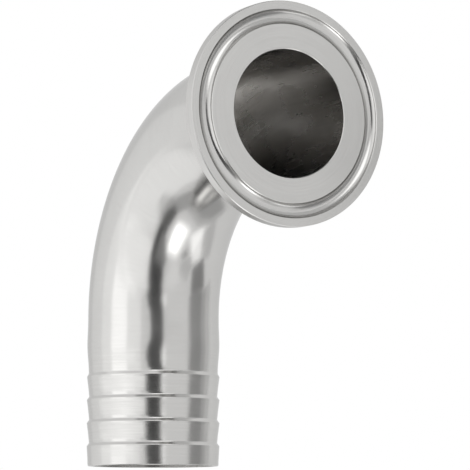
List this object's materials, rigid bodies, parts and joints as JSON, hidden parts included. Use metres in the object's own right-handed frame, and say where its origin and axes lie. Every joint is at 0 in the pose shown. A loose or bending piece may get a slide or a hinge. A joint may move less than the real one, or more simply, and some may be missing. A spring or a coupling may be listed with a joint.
{
  "type": "hose barb clamp elbow",
  "caption": "Bent steel tube with a grooved clamp ferrule on one end and a ridged hose spigot on the other, open right through.",
  "frame": {"origin": "centre of the bore in the plane of the ferrule's sealing face", "axes": "+X out of the ferrule along its bore, -Z down the hose leg, +Y square to the plane of the bend"},
  "size_m": [0.0763, 0.0506, 0.1019],
  "materials": {
    "polished_steel": "satin polished, with turned faces on the ferrule and the spigot"
  },
  "bodies": {
    "root": {"elbow": "polished_steel"}
  },
  "joints": []
}
